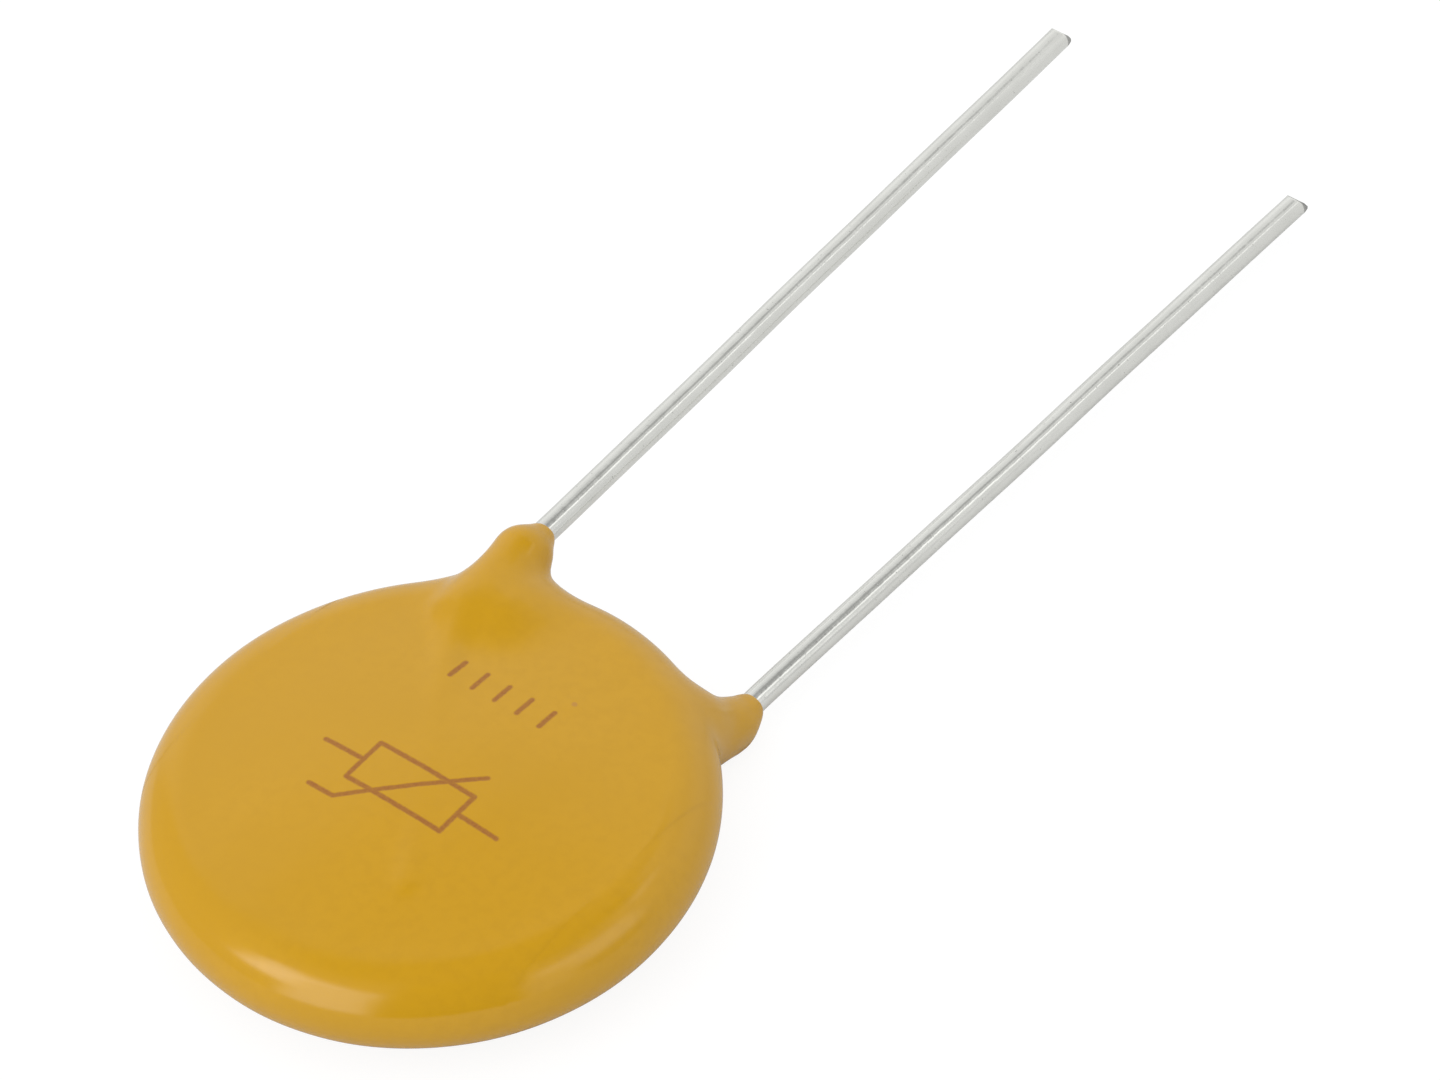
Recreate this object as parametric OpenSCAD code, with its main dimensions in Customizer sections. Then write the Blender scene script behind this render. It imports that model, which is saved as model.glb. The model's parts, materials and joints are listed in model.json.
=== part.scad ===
// Radial leaded metal oxide varistor: a zinc oxide disc with a soldered wire on each face,
// dipped in resin. The part lies on its back. +Z leaves the front face, +Y runs along the
// two wires, and the origin is on the surface below, under the middle of the outline.
// Lengths are in millimetres and angles in degrees.

/* [Ceramic disc] */
// Diameter of the sintered disc
ceramic_d = 20; // [18:0.5:24]
// Thickness of the sintered disc
ceramic_t = 2.3; // [1.6:0.1:4]
// Radius that rounds the disc's two edges
ceramic_edge = 0.3; // [0.1:0.05:0.6]

/* [Electrodes] */
// Width of the bare ring of ceramic around each electrode
electrode_margin = 1; // [0.5:0.1:1.5]
// Thickness of each fired metal film
electrode_t = 0.05; // [0.02:0.01:0.1]

/* [Wires] */
// Diameter of the tinned wire
wire_d = 1; // [0.6:0.1:1.2]
// Distance between the two wires inside the coat
pitch = 10; // [7.5:0.5:11]
// Distance that the pair of wires sits off the disc's middle, towards +X
pair_shift = 0.43; // [0:0.01:0.8]
// Free length of the front wire, from the end of its coat to its tip
front_free = 34.3; // [5:0.1:40]
// Free length of the back wire
back_free = 34.7; // [5:0.1:40]
// Outward lean of each free wire
splay_a = 1.4; // [0.5:0.1:3]
// Angle at which the wire turns to cross its electrode
cross_a = 33; // [20:1:45]
// Centreline radius of the wire's bends
bend_r = 4; // [2:0.5:6]
// Distance from the ceramic's edge in to that turn
turn_in = 2.8; // [2.4:0.1:5]
// Distance from the disc's middle to the wire's inner end
wire_end_r = 5.5; // [5.5:0.1:6.5]

/* [Solder] */
// Width of the bead that joins a wire to its electrode
bead_w = 2.4; // [1.8:0.1:3]
// Length of the bead along the wire
bead_l = 9; // [4:0.5:12]
// Thickness of the bead's outer edge
bead_edge = 0.05; // [0.02:0.01:0.1]
// Solder film under the wire
solder_film = 0.05; // [0.02:0.01:0.1]

/* [Resin coat] */
// Thickness of the coat over each electrode
coat_face = 0.75; // [0.6:0.05:1.2]
// Thickness of the coat around the ceramic's edge
coat_rim = 1; // [0.8:0.1:1.6]
// Extra reach of the outline on the side where the wires leave
wire_side_fill = 0.33; // [0:0.01:0.5]
// Extra thickness of each domed face at its middle, where the resin gathers
coat_crown = 0.65; // [0.5:0.05:0.9]
// Coat that clings to a wire where it crosses the face
ridge_cover = 0.05; // [0:0.01:0.3]
// Radius that blends the ridge over a wire into the face
ridge_blend = 0.6; // [0.4:0.1:1.4]

/* [Shoulders of the coat] */
// Distance from the disc's outline to the middle of a shoulder's round end
shoulder_reach = -0.1; // [-0.4:0.05:1]
// Coat around the wire at the shoulder's round end
shoulder_cover = 0.2; // [0.15:0.05:0.6]
// Distance from the disc's outline in to the middle of the shoulder's root
root_in = 3; // [2.5:0.1:4]
// Radius of the shoulder's root, inside the disc
root_r = 1.5; // [1:0.05:2]
// Height of the root's middle off the disc's mid-plane
root_z = 0.7; // [0.4:0.05:1]
// Lean of the root towards the disc's middle
root_lean = 1; // [0:0.05:1.5]
// Radius that blends a shoulder into the disc
shoulder_blend = 1.8; // [1:0.1:2.4]
// Thin collar of coat that climbs the wire: its thickness
collar_cover = 0.08; // [0.05:0.01:0.2]
// Length of the collar past the shoulder's round end
collar_l = 1.2; // [0.8:0.1:2]
// Radius that blends the collar into the shoulder
collar_blend = 0.5; // [0.2:0.05:0.8]

/* [Hidden] */

front = 1;
back = -1;
round_fn = 96;
wire_fn = 48;

// the coat's skin: steps of a ray, sections across X and points round each of them
steps = 24;
rim_n = 10;
middle_n = 6;
close_n = 13;
close_w = 2.2;
end_n = 11;
face_n = 20;
fan_a = 50;
draw_l = 2;
// places along the back wire where the height of the skin is taken
crest_n = 8;

ceramic_r = ceramic_d / 2;
electrode_r = ceramic_r - electrode_margin;
wire_r = wire_d / 2;
// heights off the disc's mid-plane
electrode_z = ceramic_t / 2 + electrode_t;
wire_z = electrode_z + solder_film + wire_r;
coat_z = electrode_z + coat_face;
// the coat's rim is a full round about this circle
coat_r = ceramic_r + coat_rim;
core_r = coat_r - coat_z;

// the wire's elbow is this much fuller than its straight stretches, which run this far into it
seat = 0.01;
seat_l = sqrt(bend_r * seat);

// places along the wires, from the disc's centre
turn_y = ceramic_r - turn_in;
shoulder_y = coat_r + shoulder_reach;
collar_y = shoulder_y + collar_l;
root_y = coat_r - root_in;
collar_r = wire_r + collar_cover;
splay_y = collar_y + collar_r;

// the meniscus of solder climbs to the wire's side
meniscus_r = bead_w / 2 - wire_r;

// Wires

// Place across the disc of the wire on one side: the front wire is at -X
function wire_x(side) = pair_shift - side * pitch / 2;

// Length of the stretch that crosses the electrode, from the turn to the wire's inner end
function cross_l(side) =
    let (turn = [wire_x(side), turn_y],
         along = [side * sin(cross_a), -cos(cross_a)],
         to_middle = turn * along)
    sqrt(to_middle * to_middle - turn * turn + wire_end_r * wire_end_r) - to_middle;

// Puts a shape drawn about the front wire's turn at the turn of the wire on one side
module at_turn(side)
    translate([wire_x(side), turn_y, side * wire_z])
        rotate([0, side == front ? 0 : 180, 0])
            children();

module along_y(r, l)
    rotate([-90, 0, 0]) cylinder(r = r, h = l, $fn = wire_fn);

// Elbow that starts along +Y at the origin and turns by angle a towards +X
module elbow(a)
    translate([bend_r, 0, 0])
        rotate([0, 0, 180 - a])
            rotate_extrude(angle = a, $fn = 4 * wire_fn)
                translate([bend_r, 0]) circle(r = wire_r + seat, $fn = wire_fn);

// The whole wire on one side: across the electrode, out of the coat and on to its cut tip.
// The straight stretches run a little way into the elbow, and into a ball where it leans.
module wire(side, free_l) {
    turn_t = bend_r * tan(cross_a / 2);
    hidden_l = splay_y - turn_y;
    at_turn(side) {
        rotate([0, 0, cross_a])
            translate([0, -cross_l(side), 0])
                along_y(wire_r, cross_l(side) - turn_t + seat_l);
        translate([0, turn_t, 0])
            mirror([0, 1, 0]) elbow(cross_a);
        translate([0, turn_t - seat_l, 0])
            along_y(wire_r, hidden_l - turn_t + seat_l);
        translate([0, hidden_l, 0]) {
            sphere(r = wire_r + seat, $fn = wire_fn);
            rotate([0, 0, splay_a])
                along_y(wire_r, free_l);
        }
    }
}

module front_wire() wire(front, front_free);
module back_wire() wire(back, back_free);

// Disc, electrodes and solder

module ceramic() {
    straight_t = ceramic_t - 2 * ceramic_edge;
    translate([0, 0, -ceramic_t / 2])
        rotate_extrude($fn = round_fn)
            union() {
                square([ceramic_r - ceramic_edge, ceramic_t]);
                translate([0, ceramic_edge]) square([ceramic_r, straight_t]);
                for (y = [ceramic_edge, ceramic_t - ceramic_edge])
                    translate([ceramic_r - ceramic_edge, y])
                        circle(r = ceramic_edge, $fn = wire_fn);
            }
}

module electrode(side) {
    lowest_z = side == front ? ceramic_t / 2 : -electrode_z;
    translate([0, 0, lowest_z])
        cylinder(r = electrode_r, h = electrode_t, $fn = round_fn);
}

// Half the section of a solder bead, with the hollow flank of a wetted joint
module bead_profile()
    difference() {
        square([bead_w / 2, bead_edge + meniscus_r]);
        translate([bead_w / 2, bead_edge + meniscus_r])
            circle(r = meniscus_r, $fn = wire_fn);
    }

// Bead about the inner end of the wire on one side, before the wire's own space is taken out
module bead(side)
    at_turn(side)
        rotate([0, 0, cross_a])
            translate([0, -cross_l(side), -wire_r - solder_film]) {
                for (half = [0, 1])
                    mirror([half, 0, 0])
                        rotate([-90, 0, 0]) mirror([0, 1, 0])
                            linear_extrude(bead_l) bead_profile();
                for (y = [0, bead_l])
                    translate([0, y, 0])
                        rotate_extrude($fn = round_fn) bead_profile();
            }

// Coat
// Its skin is where the function coat(p) is zero: a disc with domed faces and a full round
// rim, joined smoothly with a ridge over each wire, a shoulder that runs out along it, and
// a collar.

// Distance from p to a rod from a to b whose radius eases from ra to rb
function rod(p, a, b, ra, rb) =
    let (ab = b - a,
         t = min(max((p - a) * ab / (ab * ab), 0), 1))
    norm(p - a - t * ab) - ra - (rb - ra) * t * t * (3 - 2 * t);

// Distance to two shapes at distances a and b, with the corner between them filled
function blend(a, b, r) =
    let (h = max(r - abs(a - b), 0) / r)
    min(a, b) - h * h * r / 4;

function disc(p) =
    let (rho = norm([p.x, p.y]),
         towards_wires = max(p.y, 0) / max(rho, 0.001),
         out = rho - wire_side_fill * pow(towards_wires, 4),
         dome = max(1 - pow(out / coat_r, 2), 0))
    norm([max(out - core_r, 0), p.z]) - coat_z - coat_crown * dome * dome;

// Middle of a shoulder's round end, on the wire
function shoulder_end(side) = [wire_x(side), shoulder_y, side * wire_z];

// What one wire adds to the coat, blended into the distance d of all the rest
function with_wire(p, side, d) =
    let (turn = [wire_x(side), turn_y, side * wire_z],
         inner_end = turn + cross_l(side) * [side * sin(cross_a), -cos(cross_a), 0],
         end = shoulder_end(side),
         root = [wire_x(side) + side * root_lean, root_y, side * root_z],
         collar_end = [wire_x(side), collar_y, side * wire_z],
         ridge_r = wire_r + ridge_cover,
         end_r = wire_r + shoulder_cover,
         ridge = blend(rod(p, turn, inner_end, ridge_r, ridge_r),
                       rod(p, turn, end, ridge_r, end_r), collar_blend),
         shoulder = rod(p, root, end, root_r, end_r),
         collar = rod(p, end, collar_end, collar_r, collar_r))
    blend(blend(blend(d, ridge, ridge_blend), shoulder, shoulder_blend), collar, collar_blend);

function coat(p) = with_wire(p, back, with_wire(p, front, disc(p)));

// Point where the ray from start, inside the coat, leaves it
function skin_point(start, dir, n = steps) =
    n == 0 ? start : skin_point(start - coat(start) * dir, dir, n - 1);

// The skin is a row of closed sections across X, closer together at the shoulders
function between(a, b, n) = [for (i = [1 : n]) a + (b - a) * i / n];
function rim_stations(x) = [for (i = [1 : rim_n]) coat_r * cos(acos(x / coat_r) * i / rim_n)];
close_from = [for (side = [front, back]) wire_x(side) - close_w];
close_to = [for (side = [front, back]) wire_x(side) + close_w];
stations = concat(
    -rim_stations(-close_from[0]),
    between(close_from[0], close_to[0], close_n),
    between(close_to[0], close_from[1], middle_n),
    between(close_from[1], close_to[1], close_n),
    [for (i = [rim_n - 2 : -1 : 0]) rim_stations(close_to[1])[i]]
);

// Directions round a section: a fan at each end, and even steps along each face
function fan(middle) = [for (i = [0 : end_n - 1]) middle - fan_a + 2 * fan_a * i / end_n];
function face(turned) =
    [for (i = [0 : face_n - 1]) turned + acos(cos(fan_a) * (1 - 2 * i / face_n))];
directions = concat(fan(0), face(0), fan(180), face(180));

// The rays start on a line inside the disc, whose end p is drawn out into each shoulder
function drawn_out(p, side) =
    let (t = max(1 - abs(p.x - wire_x(side)) / close_w, 0),
         way = [wire_x(side), root_y, side * wire_z] + [0, draw_l, 0] - p)
    p + t * t * (3 - 2 * t) * [way.x / 2, way.y, way.z];
function section_point(x, a) =
    let (half_l = sqrt(max(core_r * core_r - x * x, 0)),
         near = drawn_out(drawn_out([x, half_l, 0], front), back),
         far = [x, -half_l, 0],
         share = min(max(cos(a) / cos(fan_a), -1), 1))
    skin_point((near + far) / 2 + (near - far) / 2 * share, [0, cos(a), sin(a)]);

// Two triangles for the corners a, b, c, d of a cell, cut along its shorter diagonal
function cell(p, a, b, c, d) =
    norm(p[a] - p[c]) < norm(p[b] - p[d]) ? [[a, b, c], [a, c, d]] : [[a, b, d], [b, c, d]];

module coat_skin() {
    m = len(directions);
    n = len(stations);
    poles = [for (s = [-1, 1]) skin_point([0, 0, 0], [s, 0, 0])];
    points = concat(
        [poles[0]],
        [for (x = stations) for (a = directions) section_point(x, a)],
        [poles[1]]
    );
    last = n * m + 1;
    faces = concat(
        [for (j = [0 : m - 1]) [0, 1 + (j + 1) % m, 1 + j]],
        [for (i = [0 : n - 2]) for (j = [0 : m - 1])
            let (a = 1 + i * m + j, b = 1 + i * m + (j + 1) % m)
            for (triangle = cell(points, a, b, b + m, a + m)) triangle],
        [for (j = [0 : m - 1]) [last, last - m + j, last - m + (j + 1) % m]]
    );
    polyhedron(points, faces, convexity = 6);
}

// Rest: the lowest part of the back, and the middle of the outline along Y
crest = [for (i = [0 : crest_n]) [wire_x(back), shoulder_y * i / crest_n, -wire_z]];
lowest = max([for (p = concat([[0, 0, -wire_z]], crest)) -skin_point(p, [0, 0, -1]).z]);
tip_y = splay_y + max(front_free, back_free) * cos(splay_a);
middle_y = (tip_y - coat_r) / 2;

module laid()
    translate([0, -middle_y, lowest]) children();

module coating()
    color([0.79, 0.59, 0.11])
        laid()
            difference() {
                coat_skin();
                ceramic();
                electrode(front);
                electrode(back);
                front_wire();
                back_wire();
                bead(front);
                bead(back);
            }

module ceramic_disc()
    color([0.27, 0.29, 0.27]) laid() ceramic();

module front_electrode()
    color([0.80, 0.80, 0.77]) laid() electrode(front);

module back_electrode()
    color([0.80, 0.80, 0.77]) laid() electrode(back);

module front_lead()
    color([0.76, 0.76, 0.74]) laid() front_wire();

module back_lead()
    color([0.76, 0.76, 0.74]) laid() back_wire();

module front_solder()
    color([0.62, 0.63, 0.65])
        laid()
            difference() {
                bead(front);
                front_wire();
            }

module back_solder()
    color([0.62, 0.63, 0.65])
        laid()
            difference() {
                bead(back);
                back_wire();
            }

coating();
ceramic_disc();
front_electrode();
back_electrode();
front_lead();
back_lead();
front_solder();
back_solder();
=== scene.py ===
"""Looks of a radial-leaded varistor: a ceramic disc dipped in ochre resin, with two tinned wires.

It lies face up on white, lit and seen as in a product photograph. Blender's unit here is the metre.
The disc and its wires are drawn in millimetres about the disc's centre, where the CAD source draws them,
and placed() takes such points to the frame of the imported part.
"""
import json
import math

import bpy
import numpy as np
from mathutils import Matrix, Vector


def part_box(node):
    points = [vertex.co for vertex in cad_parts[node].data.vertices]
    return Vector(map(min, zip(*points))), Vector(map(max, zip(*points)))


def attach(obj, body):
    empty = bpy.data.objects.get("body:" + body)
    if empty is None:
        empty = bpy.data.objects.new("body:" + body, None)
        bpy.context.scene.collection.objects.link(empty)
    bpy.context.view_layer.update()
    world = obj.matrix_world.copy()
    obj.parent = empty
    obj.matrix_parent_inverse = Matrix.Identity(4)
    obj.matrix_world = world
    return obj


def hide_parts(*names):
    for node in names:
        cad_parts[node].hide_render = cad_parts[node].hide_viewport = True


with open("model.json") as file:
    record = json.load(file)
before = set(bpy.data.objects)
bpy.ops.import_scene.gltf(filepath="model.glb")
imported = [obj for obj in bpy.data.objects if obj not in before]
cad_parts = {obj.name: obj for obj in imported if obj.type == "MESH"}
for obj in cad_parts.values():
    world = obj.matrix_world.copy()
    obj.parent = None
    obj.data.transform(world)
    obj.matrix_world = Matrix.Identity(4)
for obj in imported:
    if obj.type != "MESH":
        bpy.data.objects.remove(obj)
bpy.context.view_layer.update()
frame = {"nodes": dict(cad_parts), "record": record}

# Resin coat
# Filled epoxy powder melts on the hot disc into one glossy skin, drawn out along each wire. The surface
# is where a blended distance to simple forms is zero, as in the CAD source.
MM = 0.001
FRONT, BACK = 1, -1
ceramic_low, ceramic_high = (np.array(corner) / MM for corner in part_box("ceramic_disc"))
disc_centre = (ceramic_low + ceramic_high) / 2
ceramic_r = (ceramic_high[0] - ceramic_low[0]) / 2
wire_r = frame["record"]["mounts"][0]["dims"]["r_mm"]
bend_extra = 0.01  # the CAD wire is this much fuller in its bend
wire_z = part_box("front_lead")[1].z / MM - disc_centre[2] - wire_r - bend_extra
pitch = 10
pair_shift = 0.43


def wire_x(side):
    return pair_shift - side * pitch / 2


coat_z = 1.95
coat_crown = 0.65
coat_r = ceramic_r + 1
core_r = coat_r - coat_z
wire_side_fill = 0.33
turn_y = ceramic_r - 2.8
cross_a = math.radians(33)
wire_end_r = 5.5
ridge_r = wire_r + 0.05
ridge_end_r = wire_r - 0.15
ridge_blend = 0.6
shoulder_y = coat_r - 0.1
shoulder_r = wire_r + 0.2
collar_y = shoulder_y + 1.2
collar_r = wire_r + 0.04
collar_shift = 0.04
collar_blend = 0.5

# Each shoulder tapers from a root in the disc to a tip beside its wire, and a collar of resin climbs the
# wire. On the back the resin that ran down also fills the corner between rim and wire with a web.
shoulders = {
    FRONT: {
        "root": (wire_x(FRONT) + 1.02, coat_r - 2.61, 0.825),
        "root_r": 1.53,
        "tip": (wire_x(FRONT) + 0.11, shoulder_y + 0.17, wire_z - 0.09),
        "tip_r": 0.55,
        "blend": 2.3,
        "collar_r": 0.54,
    },
    BACK: {
        "root": (wire_x(BACK) - 0.8, coat_r - 2.23, -0.42),
        "root_r": 1.36,
        "tip": (wire_x(BACK), shoulder_y, -wire_z),
        "tip_r": 0.7,
        "blend": 1.31,
        "collar_r": 0.62,
    },
}
web_from, web_from_r = (wire_x(BACK) - 0.2, 9.55, -0.75), 1.09
web_to, web_to_r = (wire_x(BACK), 11.6, -1.86), 0.43
web_blend = 1.14


def placed(points):
    """Points in millimetres about the disc's centre, as metres in the part's frame."""
    return (np.asarray(points, float) + disc_centre) * MM


def inner_end(side):
    """Where the wire on one side ends, on its electrode."""
    turn = np.array([wire_x(side), turn_y])
    along = np.array([side * math.sin(cross_a), -math.cos(cross_a)])
    to_middle = turn @ along
    length = math.sqrt(to_middle ** 2 - turn @ turn + wire_end_r ** 2) - to_middle
    return np.array([*(turn + length * along), side * wire_z])


def rod(p, a, b, radius_a, radius_b):
    """Distance to a rod from a to b whose radius eases from one value to the other."""
    a, b = np.asarray(a, float), np.asarray(b, float)
    t = np.clip((p - a) @ (b - a) / ((b - a) @ (b - a)), 0, 1)
    radius = radius_a + (radius_b - radius_a) * t * t * (3 - 2 * t)
    return np.linalg.norm(p - a - t[:, None] * (b - a), axis=1) - radius


def blend(a, b, reach):
    """Distance to two shapes at distances a and b, with the corner between them filled."""
    h = np.maximum(reach - np.abs(a - b), 0) / reach
    return np.minimum(a, b) - h * h * reach / 4


def with_wire(p, side, d):
    """What one wire adds to the coat, blended into the distance d of all the rest."""
    turn = [wire_x(side), turn_y, side * wire_z]
    leaves = [wire_x(side), shoulder_y, side * wire_z]
    collar_end = [wire_x(side) + collar_shift, collar_y, side * wire_z]
    form = shoulders[side]
    over_electrode = rod(p, turn, inner_end(side), ridge_r, ridge_end_r)
    to_rim = rod(p, turn, leaves, ridge_r, shoulder_r)
    ridge = blend(over_electrode, to_rim, collar_blend)
    shoulder = rod(p, form["root"], form["tip"], form["root_r"], form["tip_r"])
    collar = rod(p, leaves, collar_end, form["collar_r"], collar_r)
    d = blend(blend(blend(d, ridge, ridge_blend), shoulder, form["blend"]), collar, collar_blend)
    if side == BACK:
        d = blend(d, rod(p, web_from, web_to, web_from_r, web_to_r), web_blend)
    return d


def coat_distance(p):
    """Distance, in millimetres, from each point to the coat's skin; it is negative inside."""
    rho = np.hypot(p[:, 0], p[:, 1])
    towards_wires = np.maximum(p[:, 1], 0) / np.maximum(rho, 0.001)
    out = rho - wire_side_fill * towards_wires ** 4
    crown = coat_crown * np.maximum(1 - (out / coat_r) ** 2, 0) ** 2
    disc = np.hypot(np.maximum(out - core_r, 0), p[:, 2]) - coat_z - crown
    return with_wire(p, BACK, with_wire(p, FRONT, disc))


def skin_points(start, direction, steps=40):
    """Where the rays from start, inside the coat, leave it."""
    p = start.copy()
    for _ in range(steps):
        p -= coat_distance(p)[:, None] * direction
    return p


def outward(p, step=0.01):
    """Unit normals of the coat's skin at points on it."""
    shifts = np.eye(3) * step
    slopes = np.stack([coat_distance(p + s) - coat_distance(p - s) for s in shifts], axis=1)
    return slopes / np.linalg.norm(slopes, axis=1, keepdims=True)


# The skin is a row of closed sections across X, closer at the shoulders and closest at the collars.
rim_n, close_n, collar_n, middle_n = 36, 14, 56, 22
end_n, face_n = 72, 64
close_w = 2.2
collar_w = 1.1
drawn_y = coat_r - 1
fan_a = math.radians(50)


def rim_stations(x):
    return coat_r * np.cos(math.acos(x / coat_r) * np.arange(1, rim_n + 1) / rim_n)


def sections():
    """The places across X of the sections, from -X to +X."""
    spacing = [
        (-close_w, -collar_w, close_n),
        (-collar_w, collar_w, collar_n),
        (collar_w, close_w, close_n),
    ]
    front, back = (
        [wire_x(side) + np.linspace(a, b, n + 1)[1:] for a, b, n in spacing]
        for side in (FRONT, BACK)
    )
    middle = np.linspace(wire_x(FRONT) + close_w, wire_x(BACK) - close_w, middle_n + 1)[1:]
    left = -rim_stations(close_w - wire_x(FRONT))
    right = rim_stations(close_w + wire_x(BACK))[-2::-1]
    return np.concatenate([left, *front, middle, *back, right])


def section_directions():
    """The directions round a section: a fan at each end, and even steps along each face."""
    fan = -fan_a + 2 * fan_a * np.arange(end_n) / end_n
    face = np.arccos(math.cos(fan_a) * (1 - 2 * np.arange(face_n) / face_n))
    return np.concatenate([fan, face, fan + math.pi, face + math.pi])


def ray_starts(x, angle):
    """Starts on a line inside the disc, whose end towards the wires is drawn out into each shoulder."""
    half = np.sqrt(np.maximum(core_r ** 2 - x ** 2, 0))
    near = np.stack([x, half, 0 * x], axis=1)
    far = np.stack([x, -half, 0 * x], axis=1)
    for side in (FRONT, BACK):
        t = np.maximum(1 - np.abs(near[:, 0] - wire_x(side)) / close_w, 0)
        way = np.array([wire_x(side), drawn_y, side * wire_z]) - near
        near = near + (t * t * (3 - 2 * t))[:, None] * way * [0.5, 1, 1]
    share = np.clip(np.cos(angle) / math.cos(fan_a), -1, 1)[:, None]
    return (near + far) / 2 + (near - far) / 2 * share


# The melt never lies quite level: it has shallow waves, and one grain stands in it.
wave_depth = 0.02
wave_lengths = [9.0, 6.1, 4.3, 3.1]
grain_at = np.array([2.5, 5.81])
grain_z = coat_z + 0.35
grain_r = 0.13
grain_h = 0.05


def settled(p):
    """Skin points, moved in by the waves of the melt and out by the grain."""
    waves = np.zeros(len(p))
    for i, length in enumerate(wave_lengths):
        turn = 1.9 * i + 0.4
        along = np.array([math.cos(turn), math.sin(turn), 0.7])
        waves += np.sin(p @ along * 2 * math.pi / length + 2.3 * i) / len(wave_lengths)
    on_face = p[:, 2] > coat_z / 2
    away = np.linalg.norm(p[:, :2] - grain_at, axis=1) / grain_r
    grain = grain_h * np.exp(-away ** 2) * on_face
    return p + (grain - wave_depth * (0.5 + 0.5 * waves))[:, None] * outward(p)


def tube_faces(rings, sides):
    """Faces of a tube of so many rings with so many sides, between a first and a last single point."""
    last = rings * sides + 1
    faces = [(0, 1 + (j + 1) % sides, 1 + j) for j in range(sides)]
    for i in range(rings - 1):
        for j in range(sides):
            a = 1 + i * sides + j
            b = 1 + i * sides + (j + 1) % sides
            faces.append((a, b, b + sides, a + sides))
    faces += [(last, last - sides + j, last - sides + (j + 1) % sides) for j in range(sides)]
    return faces


def coat_mesh():
    """Points and faces of the skin, found by rays from inside the disc."""
    places, directions = sections(), section_directions()
    x, angle = (grid.ravel() for grid in np.meshgrid(places, directions, indexing="ij"))
    ways = np.stack([0 * angle, np.cos(angle), np.sin(angle)], axis=1)
    body = skin_points(ray_starts(x, angle), ways)
    poles = skin_points(np.zeros((2, 3)), np.array([[-1.0, 0, 0], [1.0, 0, 0]]))
    points = settled(np.concatenate([poles[:1], body, poles[1:]]))
    return points, tube_faces(len(places), len(directions))


def mesh_piece(name, points, faces, material):
    """A smooth mesh object from points in millimetres about the disc's centre."""
    mesh = bpy.data.meshes.new(name)
    mesh.from_pydata(placed(points).tolist(), [], faces)
    mesh.validate()
    mesh.shade_smooth()
    mesh.materials.append(material)
    piece = bpy.data.objects.new(name, mesh)
    bpy.context.scene.collection.objects.link(piece)
    return piece


class Field:
    """An output of a shader node. Arithmetic on it adds Math nodes to the same material."""

    def __init__(self, tree, output):
        self.tree = tree
        self.output = output

    def node(self, kind, settings, inputs, out=0):
        return add_node(self.tree, kind, settings, inputs, out)

    def math(self, operation, *values):
        return self.node("ShaderNodeMath", {"operation": operation}, dict(enumerate(values)))

    def vector(self, operation, *values, out=0):
        inputs = dict(enumerate((self, *values)))
        return self.node("ShaderNodeVectorMath", {"operation": operation}, inputs, out)

    def __add__(self, other):
        return self.math("ADD", self, other)

    def __radd__(self, other):
        return self.math("ADD", other, self)

    def __sub__(self, other):
        return self.math("SUBTRACT", self, other)

    def __rsub__(self, other):
        return self.math("SUBTRACT", other, self)

    def __mul__(self, other):
        return self.math("MULTIPLY", self, other)

    def __rmul__(self, other):
        return self.math("MULTIPLY", other, self)

    def __truediv__(self, other):
        return self.math("DIVIDE", self, other)

    def __rtruediv__(self, other):
        return self.math("DIVIDE", other, self)

    def ramp(self, low, high):
        """0 below low and 1 above high, eased between them. low may be the larger."""
        inputs = {"Value": self, "From Min": low, "From Max": high}
        return self.node("ShaderNodeMapRange", {"interpolation_type": "SMOOTHSTEP"}, inputs)

    def mix(self, a, b):
        """Colour a where this is 0, and b where it is 1."""
        return self.node("ShaderNodeMix", {"data_type": "RGBA"}, {0: self, 6: a, 7: b}, 2)

    def noise(self, scale, detail=2, out=0):
        """Noise at these coordinates, with features about 1 / scale across."""
        inputs = {"Vector": self, "Scale": scale, "Detail": detail}
        return self.node("ShaderNodeTexNoise", {"noise_dimensions": "3D"}, inputs, out)


def add_node(tree, kind, settings, inputs, out=0):
    """Adds one node, with inputs by name or number, and gives one of its outputs as a Field."""
    node = tree.nodes.new(kind)
    for name, value in settings.items():
        setattr(node, name, value)
    for key, value in inputs.items():
        if isinstance(value, Field):
            tree.links.new(value.output, node.inputs[key])
        else:
            node.inputs[key].default_value = value
    return Field(tree, node.outputs[out]) if node.outputs else None


def new_material(name):
    """A material with an empty tree, and its coordinates in millimetres about the disc's centre."""
    material = bpy.data.materials.new(name)
    material.use_nodes = True
    tree = material.node_tree
    tree.nodes.clear()
    place = add_node(tree, "ShaderNodeTexCoord", {}, {}, "Object")
    scaled = add_node(tree, "ShaderNodeVectorMath", {"operation": "SCALE"}, {0: place, "Scale": 1 / MM})
    return material, scaled.vector("SUBTRACT", tuple(disc_centre))


def surface(material, height=None, depth=0.001, **inputs):
    """Ends the material in one Principled shader; height, in millimetres times depth, is its bump."""
    tree = material.node_tree
    inputs = {name.replace("_", " "): value for name, value in inputs.items()}
    if height is not None:
        bump = {"Height": height, "Distance": depth, "Strength": 1}
        inputs["Normal"] = add_node(tree, "ShaderNodeBump", {}, bump)
    shader = add_node(tree, "ShaderNodeBsdfPrincipled", {}, inputs)
    add_node(tree, "ShaderNodeOutputMaterial", {}, {"Surface": shader})


# The mark is laser-browned into the face: a plain circuit symbol and a row of ticks, in no maker's style.
stroke_w = 0.2
mark_brown = (0.33, 0.100, 0.004, 1)


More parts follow.
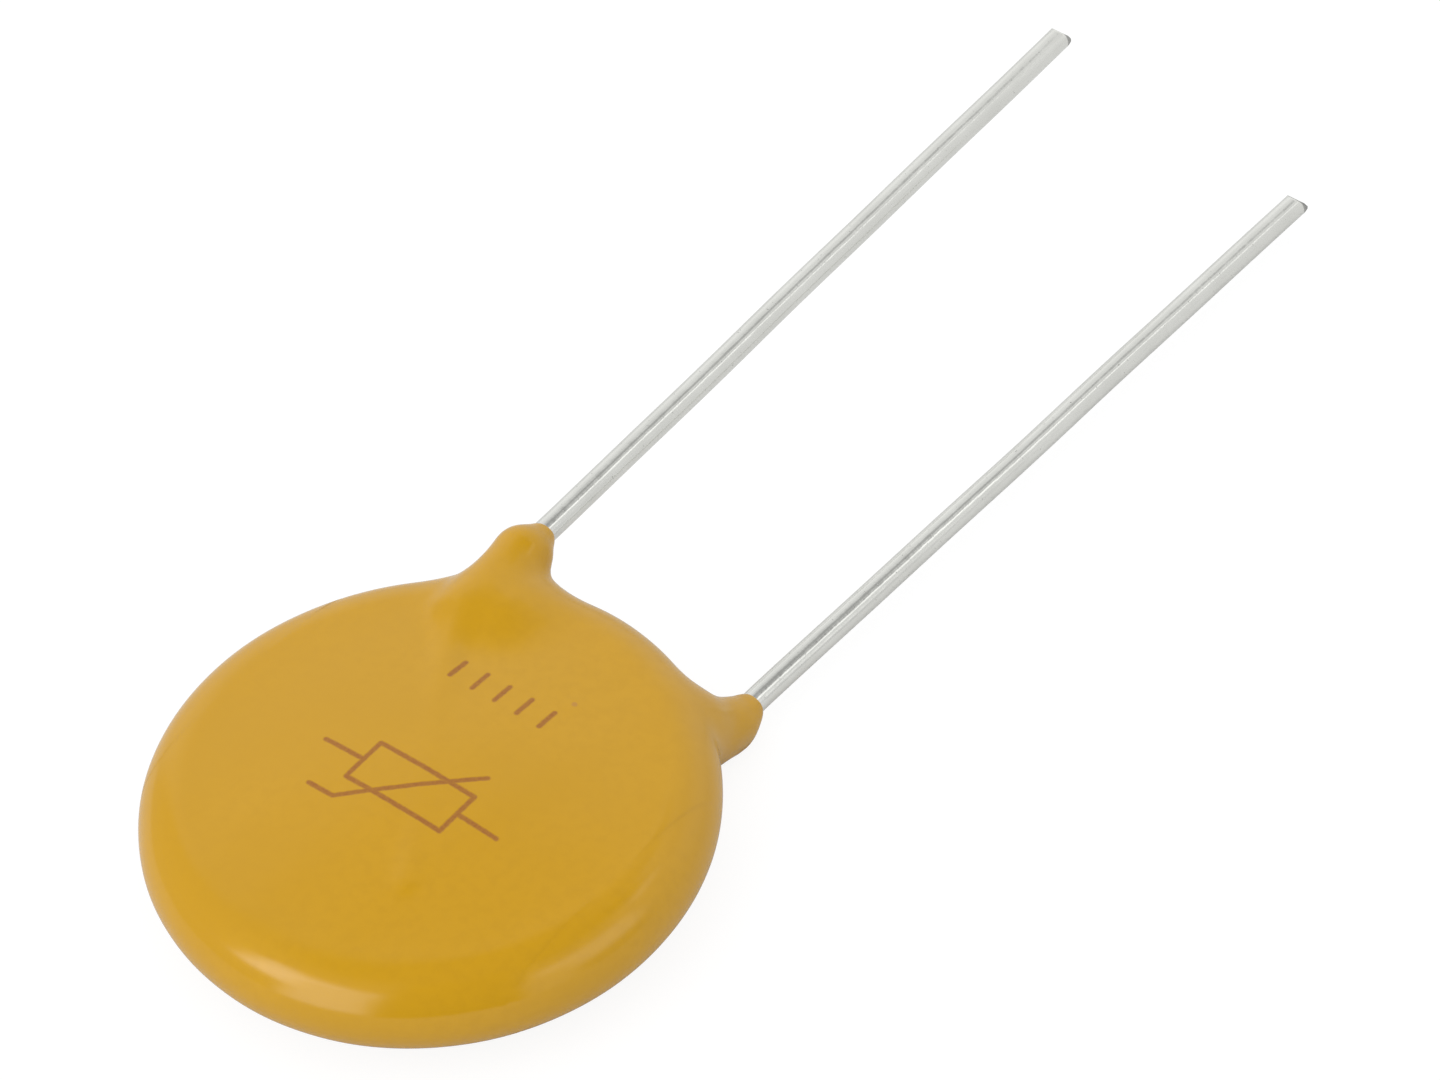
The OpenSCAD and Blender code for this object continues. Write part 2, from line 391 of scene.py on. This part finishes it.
def mark_strokes():
    """The mark's strokes on the face, each from one point to another."""
    box_w, box_h, lead_l, foot_l = 4.6, 2.0, 1.9, 1.2
    x, y = 0.3, -1.1
    left, right, low, high = x - box_w / 2, x + box_w / 2, y - box_h / 2, y + box_h / 2
    corners = [(left, low), (right, low), (right, high), (left, high)]
    box = list(zip(corners, corners[1:] + corners[:1]))
    leads = [((left - lead_l, y), (left, y)), ((right, y), (right + lead_l, y))]
    slope_low = (left + 0.2, low - 1.0)
    slope_high = (right - 0.2, high + 1.0)
    foot = [((slope_low[0] - foot_l, slope_low[1]), slope_low), (slope_low, slope_high)]
    tick_y, tick_l, tick_step = 4.1, 0.9, 1.1
    ticks = [((-2.2 + i * tick_step, tick_y), (-2.2 + i * tick_step, tick_y + tick_l)) for i in range(5)]
    return box + leads + foot + ticks


def mark_field(place):
    """1 on the mark's strokes and 0 away from them, on the front face only."""
    split = place.node("ShaderNodeSeparateXYZ", {}, {0: place})
    x, y, z = (Field(place.tree, output) for output in split.output.node.outputs)
    nearest = None
    for (ax, ay), (bx, by) in mark_strokes():
        along_x, along_y = bx - ax, by - ay
        square = along_x ** 2 + along_y ** 2
        t = ((x - ax) * (along_x / square) + (y - ay) * (along_y / square))
        t = t.math("MINIMUM", t.math("MAXIMUM", t, 0), 1)
        gap_x = x - ax - t * along_x
        gap_y = y - ay - t * along_y
        gap = gap_x * gap_x + gap_y * gap_y
        nearest = gap if nearest is None else nearest.math("MINIMUM", nearest, gap)
    distance = nearest.math("SQRT", nearest)
    uneven = place.noise(6, 3)
    edge = distance + (uneven - 0.5) * 0.06
    return edge.ramp(stroke_w * 0.75, stroke_w * 0.3) * z.ramp(coat_z * 0.5, coat_z * 0.6)


def resin_material():
    material, place = new_material("resin_coat")
    cloud = place.noise(0.16, 3)
    fine = place.noise(2.2, 4)
    base = cloud.ramp(0.3, 0.7).mix((0.58, 0.306, 0.004, 1), (0.60, 0.318, 0.005, 1))
    base = fine.ramp(0.35, 0.75).mix(base, (0.576, 0.303, 0.004, 1))
    off_grain = place.vector("DISTANCE", (*grain_at, grain_z), out="Value")
    grain = off_grain.ramp(grain_r * 1.3, grain_r * 0.5)
    base = (0.6 * grain).mix(base, (0.45, 0.2, 0.05, 1))
    mark = mark_field(place)
    worn = place.noise(9, 2).ramp(0.2, 0.8)
    colour = (mark * (0.7 + 0.25 * worn)).mix(base, mark_brown)
    rough = 0.13 + 0.05 * fine + 0.25 * mark
    height = place.noise(0.55, 2) * 2.2 + place.noise(2.6, 2) * 0.18 - mark * 0.6
    surface(material, height, 0.004 * MM, Base_Color=colour, Roughness=rough, IOR=1.5)
    return material


coat = mesh_piece("dipped_coat", *coat_mesh(), resin_material())
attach(coat, "root")
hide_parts("coating")

# Wires
# Each is a drawn copper wire, hot tinned: bright, a little wavy, finely streaked, and cropped at its tip.
# It is swept along the CAD wire's own line, with small waves added where it is free.
bend_r = 4
splay_a = math.radians(1.4)
splay_y = collar_y + collar_r
splay_gap = 0.4
free_l = {FRONT: 34.3, BACK: 34.7}
wire_sides = 48

# The cutters pinch each tip to a blunt wedge and wear its +X corner round.
pinch, blunt = 0.9, 0.07
torn_from, torn = 0.25, 1.4
# Painted shade: along each tip's edge and at its +X corner the tin is painted darker and duller.
painted_edge_l = 0.12
corner_from, corner_l, corner_soft = 0.28, 0.3, 0.04
crop_n = 6
cut_shares = [0.985, 0.93, 0.8, 0.6, 0.4, 0.2]


def wire_line(side):
    """Points along the wire's middle, from its inner end to its tip, closer together in the turn."""
    out = np.array([wire_x(side), turn_y, side * wire_z])
    end = inner_end(side)
    inward = (end - out) / np.linalg.norm(end - out)
    turn_t = bend_r * math.tan(cross_a / 2)
    centre = out + [side * bend_r, turn_t, 0]
    bend = [
        centre + bend_r * np.array([-side * math.cos(a), -math.sin(a), 0])
        for a in np.linspace(cross_a, 0, 14)
    ]
    crossing = np.linspace(end, out + inward * turn_t, 30)[:-1]
    hidden = np.linspace(bend[-1], [wire_x(side), splay_y - splay_gap, side * wire_z], 20)[1:]
    splay_start = np.array([wire_x(side), splay_y, side * wire_z])
    way = np.array([-side * math.sin(splay_a), math.cos(splay_a), 0])
    free = splay_start + np.linspace(splay_gap, free_l[side], 220)[:, None] * way
    return np.concatenate([crossing, bend, hidden, free]), splay_start


def waved(line, splay_start, side):
    """The line with the slight bends that a wire keeps from its reel, none at the coat or the tip."""
    past = np.maximum(line[:, 1] - splay_start[1], 0)
    share = past / past.max()
    window = np.sin(np.pi * np.clip(share, 0, 1)) ** 0.7
    sway_x = 0.035 * np.sin(past / 5.1 + side) + 0.012 * np.sin(past / 1.7 + 2 * side)
    sway_z = 0.03 * np.sin(past / 6.3 + 1 + side)
    return line + np.stack([sway_x * window, 0 * past, sway_z * window], axis=1)


def cropped(points, tip):
    """The Y at which the cutters leave each point of the wire."""
    wedge = pinch * np.maximum(np.abs(points[..., 2] - tip[2]) - blunt, 0)
    return tip[1] - wedge - torn * np.maximum(points[..., 0] - tip[0] - torn_from, 0) ** 2


def wire_mesh(side):
    """Points and faces of the wire: rings along its line, a domed inner end and a cropped tip."""
    line = waved(*wire_line(side), side)
    ahead = np.gradient(line, axis=0)
    ahead /= np.linalg.norm(ahead, axis=1, keepdims=True)
    up = np.array([0, 0, 1.0])
    across = np.cross(ahead, up)
    across /= np.linalg.norm(across, axis=1, keepdims=True)
    upward = np.cross(across, ahead)
    turns = 2 * math.pi * np.arange(wire_sides) / wire_sides
    spokes = across[:, None] * np.cos(turns)[:, None] + upward[:, None] * np.sin(turns)[:, None]
    rings = line[:, None] + wire_r * spokes
    tip = line[-1]
    tail = rings[-crop_n - 1]
    reach = (cropped(tail, tip) - tail[:, 1]) / ahead[-1, 1]
    steps = np.arange(1, crop_n + 1)[:, None] / crop_n
    rings[-crop_n:] = tail + (steps * reach)[:, :, None] * ahead[-1]
    cut = np.array([tip + share * wire_r * spokes[-1] for share in cut_shares])
    cut[:, :, 1] = cropped(cut, tip)
    start = [line[0] + r * spokes[0] for r in (wire_r * 0.4, wire_r * 0.85)]
    rings = np.concatenate([start, rings, cut])
    points = np.concatenate([[line[0]], rings.reshape(-1, 3), [tip]])
    return points, tube_faces(len(rings), wire_sides)


def painted_tip_shade(place):
    """1 along each tip's edge and at its +X corner, where the tin is painted darker as painted shade, and
    0 elsewhere.
    """
    split = place.node("ShaderNodeSeparateXYZ", {}, {0: place})
    x, y, z = (Field(place.tree, output) for output in split.output.node.outputs)
    tips = {side: wire_line(side)[0][-1] for side in (FRONT, BACK)}
    on_back = x.ramp(-1, 1)
    off_x = x - (tips[FRONT][0] + on_back * (tips[BACK][0] - tips[FRONT][0]))
    off_y = y - (tips[FRONT][1] + on_back * (tips[BACK][1] - tips[FRONT][1]))
    painted_edge = off_y.ramp(-painted_edge_l, -painted_edge_l / 2)
    beside = off_x.ramp(corner_from - corner_soft, corner_from + corner_soft)
    corner = beside * off_y.ramp(-corner_l - corner_soft, -corner_l + corner_soft)
    return painted_edge.math("MAXIMUM", painted_edge, corner)


def tin_material():
    material, place = new_material("tinned_wire")
    # cut is painted shade: the tin is darker, duller and less metallic along each tip's edge and at its
    # corner.
    cut = painted_tip_shade(place)
    streaked = place.vector("MULTIPLY", (9, 0.35, 9))
    streak = streaked.noise(1, 4)
    cloud = place.noise(0.5, 3)
    speck = place.noise(7, 2).ramp(0.70, 0.76)
    base = cloud.ramp(0.3, 0.7).mix((0.80, 0.805, 0.765, 1), (0.845, 0.85, 0.81, 1))
    base = (streak.ramp(0.5, 0.8) * 0.25).mix(base, (0.73, 0.735, 0.70, 1))
    base = (speck * 0.6).mix(base, (0.46, 0.46, 0.44, 1))
    base = cut.mix(base, (0.36, 0.36, 0.345, 1))
    rough = 0.12 + 0.06 * streak + 0.25 * speck + 0.4 * cut
    metal = 1 - 0.75 * cut
    height = streak * 0.7 + place.noise(1.3, 3) * 2.2 - speck
    surface(material, height, 0.006 * MM, Base_Color=base, Metallic=metal, Roughness=rough)
    return material


tin = tin_material()
cut_face_n = len(cut_shares) * wire_sides
for side, name in ((FRONT, "front"), (BACK, "back")):
    wire = mesh_piece(name + "_wire", *wire_mesh(side), tin)
    wire_faces = wire.data.polygons
    for face in wire_faces[len(wire_faces) - cut_face_n:]:
        face.use_smooth = False
    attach(wire, "root")
    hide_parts(name + "_lead")

# Ceramic disc
# The working part is pressed and sintered zinc oxide, dark grey-green and dull, with fine pale grains.


def ceramic_material():
    material, place = new_material("zinc_oxide")
    grains = place.noise(14, 3)
    # The pits are sunk by the bump and also painted darker: painted shade in them.
    shaded_pits = place.noise(5, 2).ramp(0.66, 0.74)
    base = grains.ramp(0.35, 0.7).mix((0.045, 0.053, 0.046, 1), (0.085, 0.095, 0.083, 1))
    base = shaded_pits.mix(base, (0.025, 0.028, 0.025, 1))
    surface(material, grains * 2 - shaded_pits * 3, 0.01 * MM, Base_Color=base, Roughness=0.75 + 0.15 * grains)
    return material


def dress(node, material):
    """Gives a carried-over CAD node its material."""
    slots = frame["nodes"][node].material_slots
    for slot in slots:
        slot.material = material


dress("ceramic_disc", ceramic_material())

# Electrodes
# Silver paste, screen printed on both faces of the ceramic and fired to a thin satin film.


def silver_material():
    material, place = new_material("fired_silver")
    grain = place.noise(11, 3)
    cloud = place.noise(0.4, 2)
    base = cloud.ramp(0.3, 0.7).mix((0.58, 0.58, 0.53, 1), (0.64, 0.64, 0.60, 1))
    surface(material, grain, 0.004 * MM, Base_Color=base, Metallic=0.9, Roughness=0.38 + 0.12 * grain)
    return material


silver = silver_material()
for node in ("front_electrode", "back_electrode"):
    dress(node, silver)

# Solder
# The bead that joins each wire to its electrode: it froze with a dull, slightly rippled grey skin.


def solder_material():
    material, place = new_material("solder")
    ripple = place.noise(1.6, 3)
    base = ripple.ramp(0.35, 0.65).mix((0.33, 0.34, 0.36, 1), (0.40, 0.41, 0.43, 1))
    surface(material, ripple, 0.03 * MM, Base_Color=base, Metallic=1.0, Roughness=0.30 + 0.15 * ripple)
    return material


solder = solder_material()
for node in ("front_solder", "back_solder"):
    dress(node, solder)

# Floor and surroundings
# A white table in a white room, both white to the camera, where only the table's diffuse share takes a
# shadow. A gloss sees the table as it is lit. The room's even light is a little stronger from the left.
fill_level = 0.97
fill_slope = 0.18
fill_azimuth = -150
floor_size = 3.0
floor_white = 0.70
floor_glow = 0.89
floor_share = 0.15
table_gloss_share = 0.06


def towards(zenith, azimuth):
    """Unit vector at these angles, in degrees, from straight up and from +X."""
    z, a = math.radians(zenith), math.radians(azimuth)
    return Vector((math.sin(z) * math.cos(a), math.sin(z) * math.sin(a), math.cos(z)))


def seen_directly(tree, gloss_share=1):
    """1 for rays from the camera, gloss_share for those off a gloss, and 0 for diffuse light."""
    paths = add_node(tree, "ShaderNodeLightPath", {}, {}, "Is Camera Ray")
    outputs = paths.output.node.outputs
    glossy = Field(tree, outputs["Is Glossy Ray"]) * gloss_share
    through = Field(tree, outputs["Is Transmission Ray"])
    either = paths.math("MAXIMUM", paths, glossy)
    return either.math("MAXIMUM", either, through)


world = bpy.data.worlds.new("white_room")
world.use_nodes = True
world.node_tree.nodes.clear()
direct = seen_directly(world.node_tree)
sky_way = add_node(world.node_tree, "ShaderNodeTexCoord", {}, {}, "Generated")
from_left = sky_way.vector("DOT_PRODUCT", tuple(towards(90, fill_azimuth)), out="Value")
evenly = direct * (1 - fill_level) + fill_level
sky_level = evenly + (1 - direct) * from_left * (fill_level * fill_slope)
sky = add_node(world.node_tree, "ShaderNodeBackground", {}, {"Color": sky_level, "Strength": 1})
add_node(world.node_tree, "ShaderNodeOutputWorld", {}, {"Surface": sky})
bpy.context.scene.world = world

floor_mesh = bpy.data.meshes.new("floor")
floor_half = floor_size / 2
floor_corners = [(x * floor_half, y * floor_half, 0) for x, y in ((-1, -1), (1, -1), (1, 1), (-1, 1))]
floor_mesh.from_pydata(floor_corners, [], [(0, 1, 2, 3)])
floor_paint = bpy.data.materials.new("white_table")
floor_paint.use_nodes = True
floor_tree = floor_paint.node_tree
floor_tree.nodes.clear()
direct = seen_directly(floor_tree, table_gloss_share)
matt = add_node(floor_tree, "ShaderNodeBsdfDiffuse", {}, {"Color": (floor_white,) * 3 + (1,)})
dim_matt = add_node(floor_tree, "ShaderNodeBsdfDiffuse", {}, {"Color": (floor_share,) * 3 + (1,)})
glow = add_node(floor_tree, "ShaderNodeEmission", {}, {"Color": (1, 1, 1, 1), "Strength": floor_glow})
lit = add_node(floor_tree, "ShaderNodeAddShader", {}, {0: dim_matt, 1: glow})
both = add_node(floor_tree, "ShaderNodeMixShader", {}, {0: direct, 1: matt, 2: lit})
add_node(floor_tree, "ShaderNodeOutputMaterial", {}, {"Surface": both})
floor_mesh.materials.append(floor_paint)
floor = bpy.data.objects.new("floor", floor_mesh)
bpy.context.scene.collection.objects.link(floor)

# Lamp
# One large soft box in front on the left. It gives the part its gentle light and the shadow on the table,
# and the reflection dome holds what the gloss shows of it.
lamp_distance = 0.35
lamp_side = 0.24
lamp_zenith, lamp_azimuth = 58, -105
lamp_share = 0.17

light = bpy.data.lights.new("front_box", "AREA")
light.shape = "SQUARE"
light.size = lamp_side
light.energy = lamp_share * (math.pi * lamp_distance) ** 2
light.color = (1.0, 0.995, 0.985)
lamp = bpy.data.objects.new("front_box", light)
lamp_way = towards(lamp_zenith, lamp_azimuth)
lamp.location = lamp_way * lamp_distance
lamp.rotation_euler = lamp_way.to_track_quat("Z", "Y").to_euler()
lamp.visible_camera = False
lamp.visible_glossy = False
bpy.context.scene.collection.objects.link(lamp)

# Reflection dome
# What the gloss sees of the studio, and only reflections see it: pale walls, a dim ceiling, the bright
# soft boxes and the dark gap where the camera stands.
dome_r = 0.5
dome_low = 92
dome_rings, dome_spokes = 24, 64
wall_level = 0.45
ceiling_level = 0.15


def studio(tree):
    """Brightness of the studio in the direction of a point on the dome, where 1 is white."""
    place = add_node(tree, "ShaderNodeTexCoord", {}, {}, "Object")
    out = place.vector("NORMALIZE")
    split = out.node("ShaderNodeSeparateXYZ", {}, {0: out})
    x, y, z = (Field(tree, output) for output in split.output.node.outputs)
    zenith = z.math("ARCCOSINE", z)
    flat = zenith.math("SINE", zenith)

    def patch(level, azimuth, half_w, low, high, soft, value):
        """The level with one patch over it: azimuth, half width, zeniths and softness in degrees."""
        a, w, low, high, soft = (math.radians(angle) for angle in (azimuth, half_w, low, high, soft))
        facing = (x * math.cos(a) + y * math.sin(a)) / flat
        across = facing.ramp(math.cos(w + soft), math.cos(max(w - soft, 0)))
        inside = across * zenith.ramp(low - soft, low + soft) * zenith.ramp(high + soft, high - soft)
        return level + inside * (value - level)

    # the wall beyond the tips
    level = wall_level + 0 * zenith
    level = patch(level, azimuth=98, half_w=72, low=38, high=110, soft=9, value=0.75)
    level = patch(level, azimuth=130, half_w=40, low=40, high=110, soft=9, value=0.82)
    level = patch(level, azimuth=110, half_w=60, low=58, high=84, soft=9, value=0.92)
    # the ceiling on the right, and the strips of light under it
    level = patch(level, azimuth=6, half_w=56, low=-20, high=34, soft=7, value=0.13)
    level = patch(level, azimuth=92, half_w=30, low=33, high=48, soft=3, value=0.79)
    level = patch(level, azimuth=92, half_w=13, low=27, high=38, soft=3, value=0.45)
    level = patch(level, azimuth=46, half_w=8, low=40, high=49, soft=3, value=1.3)
    # the soft box in front on the left, then the gap at the camera, then the box on the right
    level = patch(level, azimuth=-105, half_w=18, low=41, high=66, soft=6, value=3.9)
    level = patch(level, azimuth=-88, half_w=14, low=45, high=90, soft=6, value=2.5)
    level = patch(level, azimuth=-46, half_w=26, low=8, high=100, soft=7, value=0.08)
    level = patch(level, azimuth=5, half_w=21, low=48, high=73, soft=7, value=1.6)
    level = patch(level, azimuth=-13, half_w=8, low=60, high=100, soft=7, value=0.95)
    overhead = zenith.ramp(math.radians(34), math.radians(16))
    return level + overhead * (ceiling_level - level)


dome_points = [towards(0, 0) * dome_r]
for i in range(1, dome_rings + 1):
    zenith = dome_low * i / dome_rings
    dome_points += [towards(zenith, 360 * j / dome_spokes) * dome_r for j in range(dome_spokes)]
dome_faces = [(0, 1 + j, 1 + (j + 1) % dome_spokes) for j in range(dome_spokes)]
for i in range(dome_rings - 1):
    for j in range(dome_spokes):
        a = 1 + i * dome_spokes + j
        b = 1 + i * dome_spokes + (j + 1) % dome_spokes
        dome_faces.append((a, a + dome_spokes, b + dome_spokes, b))
dome_mesh = bpy.data.meshes.new("reflection_dome")
dome_mesh.from_pydata(dome_points, [], dome_faces)
dome_paint = bpy.data.materials.new("studio")
dome_paint.use_nodes = True
dome_tree = dome_paint.node_tree
dome_tree.nodes.clear()
dome_glow = add_node(dome_tree, "ShaderNodeEmission", {}, {"Color": studio(dome_tree), "Strength": 1})
add_node(dome_tree, "ShaderNodeOutputMaterial", {}, {"Surface": dome_glow})
dome_mesh.materials.append(dome_paint)
dome = bpy.data.objects.new("reflection_dome", dome_mesh)
for ray in ("camera", "diffuse", "shadow", "transmission", "volume_scatter"):
    setattr(dome, "visible_" + ray, False)
bpy.context.scene.collection.objects.link(dome)

# Camera
# A long lens, high in front on the right, where the disc's ellipse and the wires' lines put it.
camera_at = Vector((117.07, -127.685, 182.14)) * MM
elevation, azimuth, roll = (math.radians(angle) for angle in (46.1, 42.7, -5.2))
sensor_w = 36
focal = 159.7

back_way = Vector((
    math.sin(azimuth) * math.cos(elevation),
    -math.cos(azimuth) * math.cos(elevation),
    math.sin(elevation),
))
level_right = Vector((math.cos(azimuth), math.sin(azimuth), 0))
level_up = back_way.cross(level_right)
right = math.cos(roll) * level_right + math.sin(roll) * level_up
up = -math.sin(roll) * level_right + math.cos(roll) * level_up
lens = bpy.data.cameras.new("camera")
lens.sensor_width = sensor_w
lens.lens = focal
lens.clip_start = 0.01
lens.clip_end = 10
camera = bpy.data.objects.new("camera", lens)
turned = Matrix((right, up, back_way)).transposed().to_4x4()
camera.matrix_world = Matrix.Translation(camera_at) @ turned
bpy.context.scene.collection.objects.link(camera)
bpy.context.scene.camera = camera
bpy.context.scene.view_settings.view_transform = "Standard"
